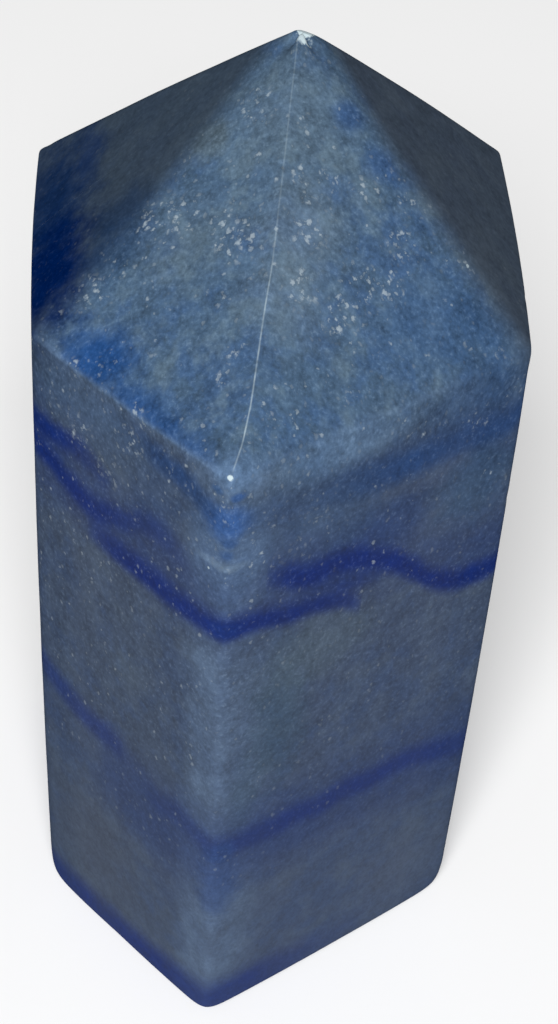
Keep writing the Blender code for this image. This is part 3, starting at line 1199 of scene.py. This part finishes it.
class StoneShape:
    """The polished solid, taken from the faces of the CAD solid."""

    def __init__(
        self, solid: bpy.types.Object, softness: dict[Corner, EdgeSoftness], bow: RidgeBow, chip: Chip
    ) -> None:
        """Measure the CAD solid.

        Args:
            solid: The CAD node.
            softness: How its edges were rounded, by corner.
            bow: How its front ridge strays.
            chip: The broken place beside the tip.
        """
        self.softness = softness
        self.bow = bow
        normals, centres, areas, corners = self._triangles(solid)
        faces = self._group(normals, areas, corners)
        self.base = min(faces, key=lambda face: face.normal[2])
        rest = [face for face in faces if face is not self.base]
        self.sides = self._in_order([face for face in rest if face.normal[2] < 0.3])
        self.tips = self._in_order([face for face in rest if face.normal[2] >= 0.3])
        self.shoulder = [
            meeting_point([self.sides[i - 1], self.sides[i], self.tips[i - 1], self.tips[i]])
            for i in range(len(Corner))
        ]
        self.foot = [meeting_point([self.sides[i - 1], self.sides[i], self.base]) for i in range(len(Corner))]
        self.tip = meeting_point(self.tips)
        self.cut = GroundFace.flat(np.array(chip.centre) * MM, np.array(chip.facing))

    def _triangles(self, solid: bpy.types.Object) -> tuple[np.ndarray, np.ndarray, np.ndarray, np.ndarray]:
        """Read the solid's triangles from a merged copy."""
        mesh = bmesh.new()
        mesh.from_mesh(solid.data)
        bmesh.ops.remove_doubles(mesh, verts=mesh.verts, dist=1e-6)
        bmesh.ops.triangulate(mesh, faces=mesh.faces)
        corners = np.array([[v.co[:] for v in face.verts] for face in mesh.faces])
        mesh.free()
        crossed = np.cross(corners[:, 1] - corners[:, 0], corners[:, 2] - corners[:, 0])
        doubled = np.linalg.norm(crossed, axis=1)
        return crossed / doubled[:, None], corners.mean(axis=1), doubled / 2, corners

    def _group(self, normals: np.ndarray, areas: np.ndarray, corners: np.ndarray) -> list[GroundFace]:
        """Sort the triangles into the thirteen ground faces."""
        groups: list[list[int]] = []
        for index in np.argsort(-areas):
            for group in groups:
                if normals[index] @ normals[group[0]] > math.cos(math.radians(9.0)):
                    group.append(index)
                    break
            else:
                if len(groups) < 2 * len(Corner) + 1:
                    groups.append([index])
        faces = []
        for group in groups:
            mean = (normals[group] * areas[group][:, None]).sum(axis=0)
            big = [i for i in group if areas[i] > areas[group[0]] * 0.3]
            points = corners[big].reshape(-1, 3)
            faces.append(GroundFace.measured(mean / np.linalg.norm(mean), points))
        return faces

    def _in_order(self, faces: list[GroundFace]) -> list[GroundFace]:
        """Put faces in order round the column, from the one right of the front corner."""
        return sorted(faces, key=lambda face: (math.atan2(face.normal[1], face.normal[0]) + math.pi / 2) % math.tau)

    def _corners_passed(self, points: np.ndarray) -> np.ndarray:
        """Count the corners from the front one round to some points, lingering at each corner."""
        lines = np.concatenate([points[:, :2], [corner[:2] for corner in self.shoulder]]) - self.tip[:2]
        turns = np.arctan2(lines[:, 1], lines[:, 0])
        turns = (turns - turns[len(points)]) % math.tau
        corners = [*turns[len(points):], math.tau]
        passed = np.interp(turns[:len(points)], corners, range(len(corners)))
        whole = np.floor(passed)
        share = passed - whole
        return whole + share * share * (3 - 2 * share)

    def _edge_width(self, points: np.ndarray) -> np.ndarray:
        """Find how softly the edges near some points were rounded.

        The middle of a base edge is as soft as the softer of its two corners, or softer.

        Args:
            points: Points near the surface.

        Returns:
            The softness at each, in metres.
        """
        passed = self._corners_passed(points)
        soft = [self.softness[corner] for corner in (*Corner, Corner.FRONT)]
        column, shoulder, ridge = (
            np.interp(passed, range(len(soft)), [getattr(item, name) for item in soft])
            for name in ("column", "shoulder", "ridge")
        )
        feet = [soft[0].foot]
        for before, after in zip(soft, soft[1:]):
            feet += [max(before.foot, after.foot, BASE_SOFTNESS), after.foot]
        foot = np.interp(passed, np.arange(len(feet)) / 2, feet)

        low = min(corner[2] for corner in self.shoulder)
        width = column
        for target, start, end in (
            (foot, 4.0 * MM, 0.0),
            (shoulder, low - 2.5 * MM, low),
            (ridge, low + 0.5 * MM, low + 3.5 * MM),
        ):
            share = np.clip((points[:, 2] - start) / (end - start), 0.0, 1.0)
            width = width + (target - width) * share * share * (3 - 2 * share)
        return width * MM * np.clip((self.tip[2] - points[:, 2]) / (1.0 * MM), 0.25, 1.0)

    def _faces(self) -> list[GroundFace]:
        """List every face: the column's, the tip's, the base and the broken place."""
        return [*self.sides, *self.tips, self.base, self.cut]

    def _heights(self, points: np.ndarray) -> np.ndarray:
        """Measure how far points lie outside each face, with the front ridge bent."""
        heights = np.stack([face.height(points) for face in self._faces()])
        right, left = len(self.sides), len(self.sides) + len(self.tips) - 1
        turn = self.tips[0].normal - self.tips[-1].normal
        offset = (heights[right] - heights[left]) / np.linalg.norm(turn)
        lift = self.bow.stray(points[:, 2]) * turn[0] / 2 * np.exp(-((offset / (self.bow.fade * MM)) ** 2))
        heights[right] -= lift
        heights[left] += lift
        return heights

    def _soft_height(self, points: np.ndarray) -> tuple[np.ndarray, np.ndarray]:
        """Measure how far points lie outside the rounded stone, and which way it grows."""
        heights = self._heights(points)
        slopes = np.stack([face.slope(points) for face in self._faces()])
        width = self._edge_width(points)
        top = heights.max(axis=0)
        weights = np.exp((heights - top) / width)
        total = weights.sum(axis=0)
        slope = (weights[:, :, None] * slopes).sum(axis=0) / total[:, None]
        return top + width * np.log(total), slope

    def settle(self, points: np.ndarray, rounds: int = 8) -> np.ndarray:
        """Move points onto the rounded stone.

        Args:
            points: Points near its surface.
            rounds: How many times each is moved.

        Returns:
            Points on the surface.
        """
        for _ in range(rounds):
            height, slope = self._soft_height(points)
            points = points - (height / (slope * slope).sum(axis=1))[:, None] * slope
        return points

    def ridge_offset(self, points: np.ndarray) -> np.ndarray:
        """Measure how far points lie to one side of the crisp front ridge, in mm."""
        heights = self._heights(points)
        right, left = len(self.sides), len(self.sides) + len(self.tips) - 1
        apart = np.linalg.norm(self.tips[0].normal - self.tips[-1].normal)
        offset = (heights[right] - heights[left]) / apart / MM
        in_front = points[:, 1] < self.tip[1]
        return np.clip(np.where(in_front, offset, 5.0), -5.0, 5.0)

    def chip_share(self, points: np.ndarray) -> np.ndarray:
        """Find how much of the surface at some points is the broken place, from 0 to 1."""
        heights = self._heights(points)
        weights = np.exp((heights - heights.max(axis=0)) / self._edge_width(points))
        return weights[-1] / weights.sum(axis=0)

    def edge_gap(self, points: np.ndarray) -> np.ndarray:
        """Measure how far points lie from the nearest edge, in mm."""
        heights = self._heights(points)
        order = np.argsort(-heights, axis=0)[:2]
        rows = np.arange(len(points))
        normals = np.array([face.normal for face in self._faces()])
        apart = np.linalg.norm(normals[order[0]] - normals[order[1]], axis=1)
        return np.clip((heights[order[0], rows] - heights[order[1], rows]) / apart / MM, 0.0, 5.0)


def eased(count: int, crowding: float) -> np.ndarray:
    """Space shares from 0 to 1 so that they crowd towards both ends.

    Args:
        count: How many steps there are.
        crowding: How strongly they crowd, from 0 to 1.

    Returns:
        The shares, both ends included.
    """
    even = np.linspace(0.0, 1.0, count + 1)
    return even - crowding * np.sin(math.tau * even) / math.tau


@dataclass
class HandWear:
    """The slight ripple of hand lapping and the small nicks along the edges.

    Attributes:
        ripple_height: How far the surface strays, in metres.
        ripple_size: The size of the ripples, in metres.
        nick_depth: The depth of the deepest nicks, in metres.
        nick_radius: The radius of a nick, in metres.
        nick_spacing: The least distance between nicks, in metres.
        nick_density: Nicks for each square metre of edge.
        seed: Which scatter of nicks is used.
    """

    ripple_height: float = 0.00003
    ripple_size: float = 0.007
    nick_depth: float = 0.00005
    nick_radius: float = 0.0007
    nick_spacing: float = 0.0030
    nick_density: float = 30000.0
    seed: int = 5

    def apply(self, stone: bpy.types.Object, material: bpy.types.Material) -> bpy.types.Mesh:
        """Wear the stone and give the plain mesh that results.

        Args:
            stone: The stone's object.
            material: The stone's material.

        Returns:
            The worn mesh.
        """
        tree = self._tree()
        wear = stone.modifiers.new("hand_wear", "NODES")
        wear.node_group = tree
        values = {
            "Ripple Height": self.ripple_height,
            "Ripple Size": self.ripple_size,
            "Nick Depth": self.nick_depth,
            "Nick Radius": self.nick_radius,
            "Nick Spacing": self.nick_spacing,
            "Nick Density": self.nick_density,
            "Seed": self.seed,
            "Material": material,
        }
        for item in tree.interface.items_tree:
            if item.name in values:
                wear[item.identifier] = values[item.name]
        seen = stone.evaluated_get(bpy.context.evaluated_depsgraph_get())
        worn = bpy.data.meshes.new_from_object(seen)
        stone.modifiers.remove(wear)
        return worn

    def _tree(self) -> bpy.types.NodeTree:
        """Build the tree that wears a mesh.

        Returns:
            The geometry node tree.
        """
        tree = bpy.data.node_groups.new("hand_wear", "GeometryNodeTree")
        graph = Graph(tree)
        for name, kind in (
            ("Geometry", "NodeSocketGeometry"),
            ("Ripple Height", "NodeSocketFloat"),
            ("Ripple Size", "NodeSocketFloat"),
            ("Nick Depth", "NodeSocketFloat"),
            ("Nick Radius", "NodeSocketFloat"),
            ("Nick Spacing", "NodeSocketFloat"),
            ("Nick Density", "NodeSocketFloat"),
            ("Seed", "NodeSocketInt"),
            ("Material", "NodeSocketMaterial"),
        ):
            tree.interface.new_socket(name, in_out="INPUT", socket_type=kind)
        tree.interface.new_socket("Geometry", in_out="OUTPUT", socket_type="NodeSocketGeometry")
        given = graph.node("NodeGroupInput").outputs
        solid = given["Geometry"]

        place = graph.node("GeometryNodeInputPosition").outputs["Position"]
        out = graph.node("GeometryNodeInputNormal").outputs["Normal"]
        up = graph.value("ShaderNodeSeparateXYZ", None, {0: place}, "Z")
        size = Value(graph, given["Ripple Size"])
        swell = graph.value(
            "ShaderNodeTexNoise", None, {"Vector": place, "Scale": 1.0 / size, "Detail": 1.0}, "Fac"
        )
        ripple = (swell - 0.5) * 2.0 * Value(graph, given["Ripple Height"]) * up.step(0.0, 3.0 * MM)

        gap = graph.value("GeometryNodeInputNamedAttribute", {"data_type": "FLOAT"}, {"Name": EDGE_ATTRIBUTE})
        near_edge = graph.value("FunctionNodeCompare", {"operation": "LESS_THAN"}, {"A": gap, "B": 0.35})
        scatter = graph.node(
            "GeometryNodeDistributePointsOnFaces",
            {"distribute_method": "POISSON"},
            {
                "Mesh": solid,
                "Selection": near_edge,
                "Distance Min": given["Nick Spacing"],
                "Density Max": given["Nick Density"],
                "Seed": given["Seed"],
            },
        ).outputs["Points"]
        far = graph.value("GeometryNodeProximity", {"target_element": "POINTS"}, {0: scatter}, "Distance")
        reach = Value(graph, given["Nick Radius"])
        uneven = graph.value(
            "ShaderNodeTexNoise", None, {"Vector": place, "Scale": 300.0, "Detail": 3.0}, "Fac"
        )
        pit = (1.2 - far / reach - (uneven - 0.5) * 1.4).step(0.0, 1.0) * (uneven * 1.6)
        depth = ripple - pit * Value(graph, given["Nick Depth"])
        shift = graph.vector("SCALE", out, scale=depth)
        moved = graph.node("GeometryNodeSetPosition", None, {"Geometry": solid, "Offset": shift})
        named = graph.node(
            "GeometryNodeStoreNamedAttribute",
            {"data_type": "FLOAT", "domain": "POINT"},
            {"Geometry": moved.outputs["Geometry"], "Name": NICK_ATTRIBUTE, "Value": pit},
        )
        whole = graph.node("GeometryNodeRealizeInstances", None, {"Geometry": named.outputs["Geometry"]})
        dressed = graph.node(
            "GeometryNodeSetMaterial",
            None,
            {"Geometry": whole.outputs["Geometry"], "Material": given["Material"]},
        )
        graph.node("NodeGroupOutput", None, {"Geometry": dressed.outputs["Geometry"]})
        return tree


@dataclass
class PolishedPoint:
    """The stone itself.

    Attributes:
        columns: Mesh columns on each face.
        column_rows: Mesh rows from the base to the shoulder.
        tip_rows: Mesh rows from the shoulder to the tip.
        softness: How its edges were rounded, by corner.
        bow: How its front ridge strays.
        chip: The broken place beside the tip.
        wear: The marks of handwork.
        finish: What it is made of.
    """

    columns: int = 46
    column_rows: int = 118
    tip_rows: int = 60
    softness: dict[Corner, EdgeSoftness] = field(default_factory=lambda: SOFTNESS)
    bow: RidgeBow = RidgeBow()
    chip: Chip = Chip()
    wear: HandWear = field(default_factory=HandWear)
    finish: DumortieriteQuartz = field(default_factory=DumortieriteQuartz)

    def build(self) -> bpy.types.Object:
        """Build the stone, dress it and put it in the place of its plain solid.

        Returns:
            The stone.
        """
        shape = StoneShape(bpy.data.objects[STONE_NODE], self.softness, self.bow, self.chip)
        mesh = self._mesh(shape)
        stone = bpy.data.objects.new("dumortierite_stone", mesh)
        bpy.context.scene.collection.objects.link(stone)
        material = self.finish.material()
        stone.data = self.wear.apply(stone, material)
        stone.data.name = "dumortierite_stone"
        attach(stone, ROOT_BODY)
        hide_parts(STONE_NODE)
        LOG.info("stone: %d faces, riding on %s", len(stone.data.polygons), ROOT_BODY)
        return stone

    def _mesh(self, shape: StoneShape) -> bpy.types.Mesh:
        """Make the smooth mesh of the rounded stone.

        Args:
            shape: The stone's shape.

        Returns:
            The mesh, with its ridge and edge attributes.
        """
        across = eased(self.columns, 0.55)[:-1]
        rings = []
        for share in (0.30, 0.55, 0.75, 0.88, 0.94, 0.97):
            rings.append(self._ring(shape.foot, across) * (share, share, 1.0))
        for rise in eased(self.column_rows, 0.6)[:-1]:
            corners = [low + (high - low) * rise for low, high in zip(shape.foot, shape.shoulder)]
            rings.append(self._ring(corners, across))
        for rise in eased(self.tip_rows, 0.6)[:-1]:
            corners = [corner + (shape.tip - corner) * rise for corner in shape.shoulder]
            front = corners[Corner.FRONT.value]
            front[0] += float(shape.bow.stray(front[2]))
            rings.append(self._ring(corners, across))
        width = len(rings[0])
        points = np.concatenate([np.zeros((1, 3)), *rings, shape.tip[None]])
        points = shape.settle(points)
        points[:, 2] = np.maximum(points[:, 2], 0.0)
        faces = []
        for row in range(len(rings) - 1):
            start = 1 + row * width
            for step in range(width):
                beside = (step + 1) % width
                faces.append((start + step, start + beside, start + width + beside, start + width + step))
        last = 1 + (len(rings) - 1) * width
        for step in range(width):
            beside = (step + 1) % width
            faces.append((0, 1 + beside, 1 + step))
            faces.append((last + step, last + beside, len(points) - 1))
        mesh = bpy.data.meshes.new("dumortierite_stone")
        mesh.from_pydata(points.tolist(), [], faces)
        mesh.polygons.foreach_set("use_smooth", [True] * len(mesh.polygons))
        for name, values in (
            (RIDGE_ATTRIBUTE, shape.ridge_offset(points)),
            (EDGE_ATTRIBUTE, shape.edge_gap(points)),
            (CHIP_ATTRIBUTE, shape.chip_share(points)),
        ):
            mesh.attributes.new(name, "FLOAT", "POINT").data.foreach_set("value", values)
        mesh.update()
        return mesh

    def _ring(self, corners: list[np.ndarray], across: np.ndarray) -> np.ndarray:
        """Lay a ring of points round the stone.

        Args:
            corners: The six corners of the ring.
            across: Where the points lie between each corner and the next.

        Returns:
            The ring's points.
        """
        parts = []
        for index, corner in enumerate(corners):
            following = corners[(index + 1) % len(corners)]
            parts.append(corner + (following - corner) * across[:, None])
        return np.concatenate(parts)


# The studio.


@dataclass
class SoftLight:
    """A plain square soft light that points at the stone.

    Attributes:
        name: What it is called.
        turn: Its direction round the stone, in degrees. 0 is the front.
        climb: Its height above the horizon, in degrees.
        distance: How far away it is, in metres.
        size: The length of its side, in metres.
        power: Its power, in watts.
    """

    name: str
    turn: float
    climb: float
    distance: float
    size: float
    power: float

    def build(self, target: Vector) -> None:
        """Hang the light.

        Args:
            target: What it points at.
        """
        turn, climb = math.radians(self.turn), math.radians(self.climb)
        away = Vector((math.sin(turn) * math.cos(climb), -math.cos(turn) * math.cos(climb), math.sin(climb)))
        data = bpy.data.lights.new(self.name, "AREA")
        data.shape = "SQUARE"
        data.size = self.size
        data.energy = self.power
        lamp = bpy.data.objects.new(self.name, data)
        lamp.location = target + away * self.distance
        lamp.rotation_euler = away.to_track_quat("Z", "Y").to_euler()
        bpy.context.scene.collection.objects.link(lamp)


@dataclass
class Studio:
    """The pale floor, the soft white world and the lights."""

    floor_side: float = 3.0
    floor_drop: float = 0.00005
    ambient: float = 0.14
    middle: Vector = field(default_factory=lambda: Vector((0.0, 0.0, 0.040)))
    lights: tuple[SoftLight, ...] = (
        SoftLight("key", -6.0, 44.0, 2.4, 1.2, 83.5),
    )

    def build(self) -> None:
        """Build the studio."""
        self._floor()
        world = bpy.data.worlds.new("studio")
        world.use_nodes = True
        world.node_tree.nodes["Background"].inputs["Color"].default_value = (1.0, 1.0, 1.0, 1.0)
        world.node_tree.nodes["Background"].inputs["Strength"].default_value = self.ambient
        bpy.context.scene.world = world
        bpy.context.scene.view_settings.view_transform = "Standard"
        for light in self.lights:
            light.build(self.middle)
        LOG.info("studio: %d lights", len(self.lights))

    def _floor(self) -> None:
        """Lay the floor."""
        mesh = bmesh.new()
        bmesh.ops.create_grid(mesh, x_segments=1, y_segments=1, size=self.floor_side / 2)
        data = bpy.data.meshes.new("floor")
        mesh.to_mesh(data)
        mesh.free()
        data.transform(Matrix.Translation((0.0, 0.0, -self.floor_drop)))
        data.materials.append(PaleBoard().material())
        floor = bpy.data.objects.new("floor", data)
        bpy.context.scene.collection.objects.link(floor)


@dataclass
class ViewCamera:
    """The camera, set where the photograph was taken from."""

    place: Vector = field(default_factory=lambda: Vector((-0.003886, -0.131538, 0.156482)))
    target: Vector = field(default_factory=lambda: Vector((-0.000120, 0.001625, 0.037289)))
    roll: float = 3.49
    focal_length: float = 75.83
    shift: tuple[float, float] = (0.0217, -0.0189)

    def build(self) -> None:
        """Set up the camera."""
        back = (self.place - self.target).normalized()
        right = Vector((0.0, 0.0, 1.0)).cross(back).normalized()
        up = back.cross(right)
        turn = math.radians(self.roll)
        side = math.cos(turn) * right + math.sin(turn) * up
        top = -math.sin(turn) * right + math.cos(turn) * up
        data = bpy.data.cameras.new("camera")
        data.lens = self.focal_length
        data.shift_x, data.shift_y = self.shift
        data.clip_start = 0.001
        camera = bpy.data.objects.new("camera", data)
        axes = Matrix((side, top, back)).transposed()
        camera.matrix_world = Matrix.Translation(self.place) @ axes.to_4x4()
        bpy.context.scene.collection.objects.link(camera)
        bpy.context.scene.camera = camera


def main() -> None:
    """Build the scene."""
    logging.basicConfig(level=logging.INFO, format="%(name)s: %(message)s")
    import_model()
    Studio().build()
    ViewCamera().build()
    PolishedPoint().build()


if __name__ == "__main__":
    main()
